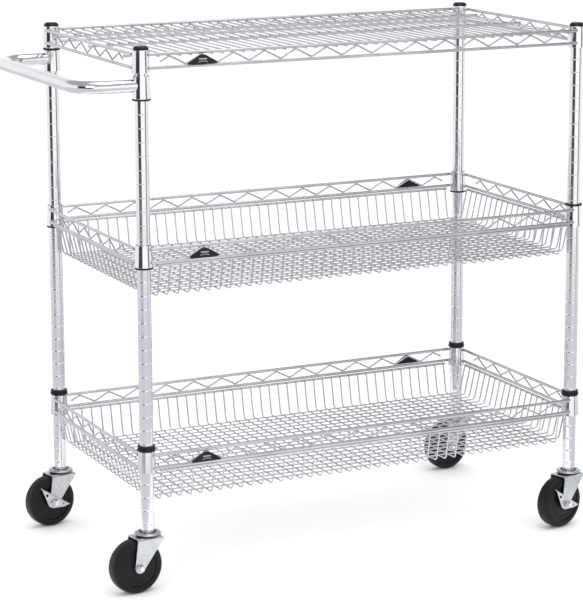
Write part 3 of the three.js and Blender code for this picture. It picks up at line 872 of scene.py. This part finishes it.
def make_deck():
    """Close wires across the cart under the top rails, on three runners along it."""
    shell = Shell()
    wire_height = TOP_RAIL["top"] - RAIL_RADIUS - WIRE_RADIUS + WELD_SINK
    runner_height = wire_height - WIRE_RADIUS - RUNNER_RADIUS + WELD_SINK
    end = HALF_Y + RAIL_OFFSET + RAIL_RADIUS - DECK_WIRE_END_INSET
    for x in spaced(WIRE_COUNT_X, WIRE_SPACING_X):
        wire(shell, [(x, -end, wire_height), (x, end, wire_height)], WIRE_RADIUS)
    reach = HALF_X + RAIL_OFFSET - RAIL_RADIUS + WELD_SINK
    for y in (-RUNNER_OFFSET, 0, RUNNER_OFFSET):
        wire(shell, [(-reach, y, runner_height), (reach, y, runner_height)], RUNNER_RADIUS,
             sides=BAR_SIDES)
    make_piece("top_deck_wires", shell, "darkened_chrome", "cart", replaces=["top_shelf_deck"])


def basket_layer(half_span, half_length, lines, bar_height, floor_height):
    """Bent wires across the basket, and the bars along X that they hang from."""
    layer = Shell()
    bar_line = half_span + BASKET_BAR_OFFSET
    top_line = bar_line - BASKET_BAR_RADIUS - WIRE_RADIUS + WELD_SINK
    foot_line = half_span - BASKET_FOOT_INSET
    top = bar_height + BASKET_BAR_RADIUS - BASKET_WIRE_END_DROP
    for x in lines:
        corners = [(x, -top_line, top), (x, -foot_line, floor_height),
                   (x, foot_line, floor_height), (x, top_line, top)]
        wire(layer, rounded(corners, BASKET_BEND), WIRE_RADIUS)
    end = half_length - BASKET_BAR_INSET
    for y in (-bar_line, bar_line):
        wire(layer, [(-end, y, bar_height), (end, y, bar_height)], BASKET_BAR_RADIUS,
             sides=BAR_SIDES)
    return layer


def make_basket(level):
    """Two crossed layers of bent wires, one resting on the other in the floor."""
    bar_height = TOP_RAIL[level] - RAIL_PITCH - BASKET_BAR_DROP
    floor_height = TOP_RAIL[level] - BASKET_DEPTH
    half_layer = WIRE_RADIUS - WELD_SINK / 2
    shell = basket_layer(HALF_Y, HALF_X, spaced(WIRE_COUNT_X, WIRE_SPACING_X), bar_height,
                         floor_height - half_layer)
    upper = basket_layer(HALF_X, HALF_Y, spaced(WIRE_COUNT_Y, WIRE_SPACING_Y), bar_height,
                         floor_height + half_layer)
    shell.add(upper.moved(Matrix.Rotation(math.pi / 2, 4, "Z")))
    walls = [f"{level}_basket_wall_{side}" for side in ("front", "back", "left", "right")]
    make_piece(f"{level}_basket_wires", shell, "darkened_chrome", "cart",
               replaces=[f"{level}_basket_floor", *walls])


# ---- Push handle ---------------------------------------------------------------------------


def make_handle():
    """U tube between two collars, its ends cut to the round of the collars."""
    shell = Shell()
    grip = -HALF_X - HANDLE_REACH
    height = HANDLE_HEIGHT + HANDLE_RISE
    corners = [(-HALF_X, -HALF_Y, height), (grip, -HALF_Y, height),
               (grip, HALF_Y, height), (-HALF_X, HALF_Y, height)]
    path = rounded(corners, HANDLE_BEND, HANDLE_BEND_STEPS)
    rings = wire(shell, path, HANDLE_TUBE_RADIUS, sides=TUBE_SIDES)
    for near, side in ((rings[:2], -1), (rings[-2:], 1)):
        for i in near[0] + near[1]:
            point = shell.points[i]
            aside = min(abs(point.y - side * HALF_Y), HANDLE_TUBE_RADIUS)
            point.x = -HALF_X - math.sqrt(HANDLE_ROOT_RADIUS ** 2 - aside ** 2)
    low = HANDLE_HEIGHT - COLLAR_HEIGHT / 2
    for corner in ("left_front", "left_back"):
        collar(shell, posts[corner], low)
    make_piece("push_handle_tube", shell, "chrome_plate", "cart", replaces=["push_handle"])
    make_sleeve("sleeve_handle_front", "left_front", low, "bottom", RIM_HEIGHT["handle"])
    make_sleeve("sleeve_handle_back", "left_back", low, "top", RIM_HEIGHT["handle"])


# ---- Casters -------------------------------------------------------------------------------


def make_stem(corner):
    """Stem with its dished race cup over the fork, a thin black ring in the cup and the rivet head
    under it.
    """
    head_top = FORK_TOP - SHEET - RIVET_GAP
    cup_top = CUP_BOTTOM + CUP_HEIGHT
    recess = cup_top - CUP_RECESS
    shoulder = POST_BOTTOM - FIT_ROOM
    plug = POST_RADIUS - POST_WALL - FIT_ROOM
    plug_top = POST_BOTTOM + STEM_DEPTH
    cup = soft_profile([
        (KINGPIN_RADIUS + SEAM, CUP_BOTTOM), (CUP_RADIUS, CUP_BOTTOM),
        (CUP_RADIUS, CUP_BOTTOM + CUP_EDGE), (CUP_CROWN_RADIUS, cup_top),
        (CUP_MOUTH_RADIUS, cup_top), (CUP_MOUTH_RADIUS, recess),
        (NECK_RADIUS, recess), (NECK_RADIUS, shoulder),
    ], PRESSED_EASE)
    shell = Shell()
    turned(shell, [
        *((across, head_top - drop) for across, drop in RIVET_HEAD),
        (KINGPIN_RADIUS, head_top), (KINGPIN_RADIUS, CUP_BOTTOM), *cup,
        (plug, shoulder), (plug, plug_top), (0, plug_top),
    ])
    make_piece(f"race_stem_{corner}", shell, "zinc_plate", "cart", caster_place(corner),
               [f"caster_stem_{corner}"])
    # Thin black plastic ring in the cup's recess around the neck.
    edge_inset, edge_rise = DARK_RING_EDGE
    bore = NECK_RADIUS + SEAM
    dark_ring = Shell()
    turned(dark_ring, [(bore, recess + SEAM), (DARK_RING_RADIUS, recess + SEAM),
                  (DARK_RING_RADIUS - edge_inset, recess + edge_rise), (bore, recess + DARK_RING_RISE)],
           closed=True)
    make_piece(f"stem_dark_ring_{corner}", dark_ring, "black_plastic", "cart", caster_place(corner))


def fork_outline():
    """Flat blank of the fork: crown in the middle and a leg on each side, pierced for the axle."""
    flat = FORK_SIDE - SHEET / 2 - FORK_FOLD
    leg_top = flat + FORK_FOLD * math.pi / 2
    axle = leg_top + FORK_TOP - SHEET / 2 - FORK_FOLD - WHEEL_RADIUS
    tangent = (FORK_BACK + CASTER_TRAIL, axle - leg_top)
    lean = math.atan2(tangent[1], tangent[0])
    back_turn = lean - math.acos(FORK_FOOT_RADIUS / math.hypot(*tangent))
    half = [(-FORK_FRONT, leg_top)]
    for step in range(FOOT_STEPS + 1):
        turn = math.pi - (back_turn + math.pi) * step / FOOT_STEPS
        half.append((-CASTER_TRAIL + FORK_FOOT_RADIUS * math.cos(turn),
                     axle + FORK_FOOT_RADIUS * math.sin(turn)))
    half.append((FORK_BACK, leg_top))
    crown_turn = math.asin(flat / FORK_CROWN_RADIUS)
    turns = [crown_turn * step / CROWN_STEPS for step in range(-CROWN_STEPS, CROWN_STEPS + 1)]
    crown = [(FORK_CROWN_RADIUS * math.cos(turn), FORK_CROWN_RADIUS * math.sin(turn))
             for turn in turns]
    mirrored = [(x, -y) for x, y in half]
    return [*crown, *reversed(half), *mirrored], axle, flat


def make_fork(corner):
    """Fork folded from its flat blank, with the race that turns on its crown; the race is black as
    painted shade for the gap under the cup.
    """
    outline, axle, flat = fork_outline()
    holes = [hole((-CASTER_TRAIL, side * axle), AXLE_BORE) for side in (-1, 1)]
    shell = Shell()
    plate(shell, outline, SHEET, SHEET_EASE, holes)
    for side in (-1, 1):
        line = (side * FOLD_REACH, -side * flat), (-side * FOLD_REACH, -side * flat)
        shell = folded(shell, *line, FORK_FOLD, math.pi / 2)
    shell.moved(Matrix.Translation((0, 0, FORK_TOP - SHEET / 2)))
    make_piece(f"pressed_fork_{corner}", shell, "zinc_plate", f"swivel_{corner}",
               caster_place(corner), [f"caster_fork_{corner}"])
    bore = KINGPIN_RADIUS + RACE_BORE_ROOM
    low = FORK_TOP - SEAM
    high = FORK_TOP + RACE_HEIGHT
    race = Shell()
    profile = soft_profile([(bore, low), (RACE_RADIUS, low), (RACE_RADIUS, high), (bore, high)],
                           PRESSED_EASE)
    turned(race, profile, closed=True)
    # Black race: painted shade standing in for the dark gap between the fork and the cup.
    make_piece(f"swivel_race_{corner}", race, "black_plastic", f"swivel_{corner}",
               caster_place(corner))


def wheel_piece(name, side, body, corner, replaces=()):
    """Closed ring about the axle whose profile is one side and its mirror image."""
    shell = Shell()
    profile = [*side, *((across, -height) for across, height in reversed(side))]
    turned(shell, profile, sides=WHEEL_SIDES, closed=True)
    make_piece(name, shell.moved(LAY_FLAT), "wheel_rubber", body, axle_place(corner), replaces)


def make_wheel(corner):
    """Rubber tyre with rounded shoulders and faint rings, on a moulded core with a boss."""
    width = WHEEL_HALF_WIDTH
    tyre = [(TYRE_INNER_RADIUS + out, width - drop) for out, drop in TYRE_BEAD]
    tyre.extend((WHEEL_RADIUS - inward, width - drop) for inward, drop in TYRE_SHOULDER)
    wheel_piece(f"tyre_{corner}", tyre, f"wheel_{corner}", corner, [f"caster_wheel_{corner}"])
    core = [(AXLE_BORE, width + HUB_RISE)]
    core.extend((HUB_RADIUS + out, width - drop) for out, drop in HUB_EDGE)
    core.extend((TYRE_INNER_RADIUS - inward, width - drop) for inward, drop in CORE_DISH)
    wheel_piece(f"wheel_core_{corner}", core, f"wheel_{corner}", corner)


def hexagon(shell, low, high):
    """Six-sided head or nut with its corners eased, along Z."""
    inset_by, rise = HEX_EASE
    flat = HEX_RADIUS - inset_by
    profile = [(0, low), (flat, low), (HEX_RADIUS, low + rise),
               (HEX_RADIUS, high - rise), (flat, high), (0, high)]
    turned(shell, profile, sides=6)


def washer(shell, low, high):
    eased = WASHER_RADIUS - WASHER_EASE
    profile = [(AXLE_RADIUS, low), (eased, low), (WASHER_RADIUS, (low + high) / 2),
               (eased, high), (AXLE_RADIUS, high)]
    turned(shell, profile, sides=WASHER_SIDES, closed=True)


def make_axle(corner):
    """Bolt through the fork with its head at the back and a nut and bolt end in front."""
    back = -BRAKE_FACE
    face = BRAKE_FACE + (BRAKE_SHEET + BRAKE_ROOM if corner in BRAKED_CORNERS else 0)
    tip = [(AXLE_RADIUS - inward, face + reach) for inward, reach in BOLT_TIP]
    bolt = Shell()
    turned(bolt, [(0, back), (AXLE_RADIUS, back), *tip, (0, face + BOLT_REACH)], sides=BOLT_SIDES)
    make_piece(f"axle_bolt_{corner}", bolt.moved(LAY_FLAT), "chrome_plate", f"swivel_{corner}",
               axle_place(corner), [f"caster_axle_{corner}"])
    nuts = Shell()
    hexagon(nuts, back - HEX_REACH, back - WASHER_HEIGHT)
    washer(nuts, back - WASHER_HEIGHT, back)
    washer(nuts, face, face + WASHER_HEIGHT)
    hexagon(nuts, face + WASHER_HEIGHT, face + HEX_REACH)
    make_piece(f"axle_nuts_{corner}", nuts.moved(LAY_FLAT), "darkened_chrome", f"swivel_{corner}",
               axle_place(corner))


def make_brake(corner):
    """Stamped wing with a foot flange bent outward along its upper edge."""
    high_tip, *lower_edge, low_tip = [Vector(point) for point in BRAKE_WING]
    along = (low_tip - high_tip).normalized()
    outward = Vector((-along.y, along.x))
    flange = outward * (BRAKE_FLANGE - BRAKE_FOLD)
    outline = [high_tip, *lower_edge, low_tip, low_tip + flange, high_tip + flange]
    window = [(BRAKE_WINDOW[0] + BRAKE_WINDOW_HALF * x, BRAKE_WINDOW[1] + BRAKE_WINDOW_HALF * y)
              for x, y in ((-1, -1), (-1, 1), (1, 1), (1, -1))]
    holes = [hole((0, 0), AXLE_BORE), window,
             hole(BRAKE_PIN_HOLE, BRAKE_PIN_HOLE_RADIUS, PIN_HOLE_SIDES)]
    shell = Shell()
    plate(shell, flat_rounded(outline, BRAKE_CORNER), BRAKE_SHEET, BRAKE_EASE, holes)
    fold = outward * BRAKE_FOLD
    shell = folded(shell, high_tip - fold, low_tip - fold, BRAKE_FOLD, math.pi / 2)
    shell.moved(Matrix.Translation((0, -BRAKE_FACE - BRAKE_SHEET / 2, 0)) @ LAY_FLAT)
    make_piece(f"brake_wing_{corner}", shell, "zinc_plate", f"brake_{corner}", axle_place(corner),
               [f"brake_lever_{corner}"])


# ---- Label plates --------------------------------------------------------------------------


def label_mark():
    """Plain bar over a shallow curved sweep, on the face of a label."""
    mark = Shell()
    plate(mark, flat_rounded(MARK_BAR, MARK_BAR_CORNER), MARK_THICKNESS, MARK_EASE)
    across, height = SWEEP_START
    low = [(across + SWEEP_STEP * i, height + SWEEP_RISE * math.sin(i / SWEEP_STEPS * math.pi))
           for i in range(SWEEP_STEPS + 1)]
    high = [(x, y + SWEEP_WIDTH) for x, y in reversed(low)]
    plate(mark, [*low, *high], MARK_THICKNESS, MARK_EASE)
    return mark


def make_label(level, side):
    """Black rounded triangle over a peak of the truss, with its printed mark."""
    half = LABEL_HALF_WIDTH
    outline = flat_rounded([(-half, -LABEL_HEIGHT), (half, -LABEL_HEIGHT), (0, LABEL_TIP)],
                           LABEL_CORNERS)
    shell = Shell()
    plate(shell, outline, LABEL_THICKNESS, LABEL_EASE)
    turn = Matrix.Rotation(0 if side == "front" else math.pi, 4, "Z")
    across = spaced(TRUSS_PEAKS["long"], TRUSS_PERIOD["long"])[LABEL_PEAK]
    top = TOP_RAIL[level] - RAIL_RADIUS - LABEL_GAP
    place = turn @ Matrix.Translation((across, -LABEL_FACE, top)) @ LAY_FLAT
    make_piece(f"corner_label_{level}_{side}", shell.moved(place), "black_plastic", "cart",
               replaces=[f"label_plate_{level}_{side}"])
    printed = label_mark().moved(place @ Matrix.Translation((0, 0, LABEL_THICKNESS / 2)))
    make_piece(f"label_mark_{level}_{side}", printed, "label_ink", "cart")


# ---- Stage, light and camera ---------------------------------------------------------------


def make_floor():
    shell = Shell()
    turned(shell, [(0, FLOOR_BOTTOM), (FLOOR_RADIUS, FLOOR_BOTTOM), (FLOOR_RADIUS, FLOOR_TOP),
                   (0, FLOOR_TOP)], sides=FLOOR_SIDES)
    make_object("studio_floor", shell, materials["pale_floor"])


def add_softbox(name, place, target, size, power):
    light = bpy.data.lights.new(name, "AREA")
    light.shape = "RECTANGLE"
    light.size, light.size_y = size
    light.energy = power
    lamp = bpy.data.objects.new(name, light)
    lamp.visible_camera = False
    direction = Vector(target) - Vector(place)
    lamp.matrix_world = (Matrix.Translation(place)
                         @ direction.to_track_quat("-Z", "Y").to_matrix().to_4x4())
    bpy.context.scene.collection.objects.link(lamp)


def node_value(tree, operation, first, second):
    """Result of a math node with two inputs, each a number or another node's output."""
    node = tree.nodes.new("ShaderNodeMath")
    node.operation = operation
    for socket, value in zip(node.inputs, (first, second)):
        if isinstance(value, (int, float)):
            socket.default_value = value
        else:
            tree.links.new(value, socket)
    return node.outputs["Value"]


def blended(tree, height, start, end, before, beyond):
    """Colours up to a start height, one colour past an end height, and a blend between."""
    share = tree.nodes.new("ShaderNodeMapRange")
    share.inputs["From Min"].default_value = start
    share.inputs["From Max"].default_value = end
    tree.links.new(height, share.inputs["Value"])
    mix = tree.nodes.new("ShaderNodeMixRGB")
    mix.inputs["Color2"].default_value = (*beyond, 1)
    tree.links.new(share.outputs["Result"], mix.inputs["Fac"])
    tree.links.new(before, mix.inputs["Color1"])
    return mix.outputs["Color"]


def room_colours(tree):
    """Bands around the horizon, with a plain ceiling over them and a plain ground under them."""
    direction = tree.nodes.new("ShaderNodeTexCoord").outputs["Generated"]
    parts = tree.nodes.new("ShaderNodeSeparateXYZ")
    tree.links.new(direction, parts.inputs["Vector"])
    toward_camera = math.atan2(CAMERA_PLACE[1], CAMERA_PLACE[0])
    azimuth = node_value(tree, "ARCTAN2", parts.outputs["Y"], parts.outputs["X"])
    past = node_value(tree, "SUBTRACT", azimuth, toward_camera + math.pi)
    around = node_value(tree, "FRACT", node_value(tree, "DIVIDE", past, 2 * math.pi), 0)
    ramp = tree.nodes.new("ShaderNodeValToRGB")
    tree.links.new(around, ramp.inputs["Fac"])
    elements = ramp.color_ramp.elements
    for element, place in zip(elements, (0, 1)):
        element.position = place
        element.color = (*ROOM_LIGHT, 1)
    for degrees, colour in ROOM_BANDS:
        elements.new(degrees / 360 + 0.5).color = (*colour, 1)
    height = parts.outputs["Z"]
    walls = blended(tree, height, ROOM_HORIZON, ROOM_HORIZON + ROOM_CEILING_BLEND,
                    ramp.outputs["Color"], ROOM_CEILING)
    return blended(tree, height, ROOM_GROUND_TOP, ROOM_GROUND_TOP - ROOM_BLEND, walls, ROOM_GROUND)


def make_world():
    """White to the camera and to matt surfaces, and a studio room to reflections."""
    world = bpy.data.worlds.new("studio")
    bpy.context.scene.world = world
    world.use_nodes = True
    tree = world.node_tree
    tree.nodes.clear()
    room = tree.nodes.new("ShaderNodeBackground")
    tree.links.new(room_colours(tree), room.inputs["Color"])
    rays = tree.nodes.new("ShaderNodeLightPath")
    shader = room.outputs["Background"]
    for ray, strength in (("Is Diffuse Ray", SOFT_LIGHT), ("Is Camera Ray", BACKDROP_LIGHT)):
        white = tree.nodes.new("ShaderNodeBackground")
        white.inputs["Strength"].default_value = strength
        white.inputs["Color"].default_value = (1, 1, 1, 1)
        choose = tree.nodes.new("ShaderNodeMixShader")
        tree.links.new(rays.outputs[ray], choose.inputs["Fac"])
        tree.links.new(shader, choose.inputs[1])
        tree.links.new(white.outputs["Background"], choose.inputs[2])
        shader = choose.outputs["Shader"]
    output = tree.nodes.new("ShaderNodeOutputWorld")
    tree.links.new(shader, output.inputs["Surface"])


def make_camera():
    camera = bpy.data.cameras.new("photo_camera")
    camera.sensor_width = CAMERA_SENSOR
    camera.lens = CAMERA_LENS
    camera.shift_x, camera.shift_y = CAMERA_SHIFT
    camera.clip_start, camera.clip_end = CAMERA_CLIP
    camera.dof.use_dof = False
    holder = bpy.data.objects.new("photo_camera", camera)
    bpy.context.scene.collection.objects.link(holder)
    turn = (Matrix.Rotation(math.radians(-CAMERA_YAW), 4, "Z")
            @ Matrix.Rotation(math.radians(90 - CAMERA_PITCH), 4, "X")
            @ Matrix.Rotation(math.radians(-CAMERA_ROLL), 4, "Z"))
    holder.matrix_world = CART_PLACE @ Matrix.Translation(Vector(CAMERA_PLACE) * MM) @ turn
    bpy.context.scene.camera = holder


# ---- The whole scene -----------------------------------------------------------------------

for corner in CORNERS:
    make_post(corner)
    make_cap(corner)
    make_stem(corner)
    make_fork(corner)
    make_wheel(corner)
    make_axle(corner)
    for level in LEVELS:
        make_shelf_sleeve(level, corner)
for corner in BRAKED_CORNERS:
    make_brake(corner)
for level in LEVELS:
    make_frame(level)
    make_label(level, "front")
make_deck()
for level in ("middle", "bottom"):
    make_basket(level)
    make_label(level, "back")
make_handle()

make_floor()
make_world()
for softbox, settings in SOFTBOXES.items():
    add_softbox(softbox, *settings)
make_camera()
bpy.context.scene.view_settings.view_transform = "Standard"
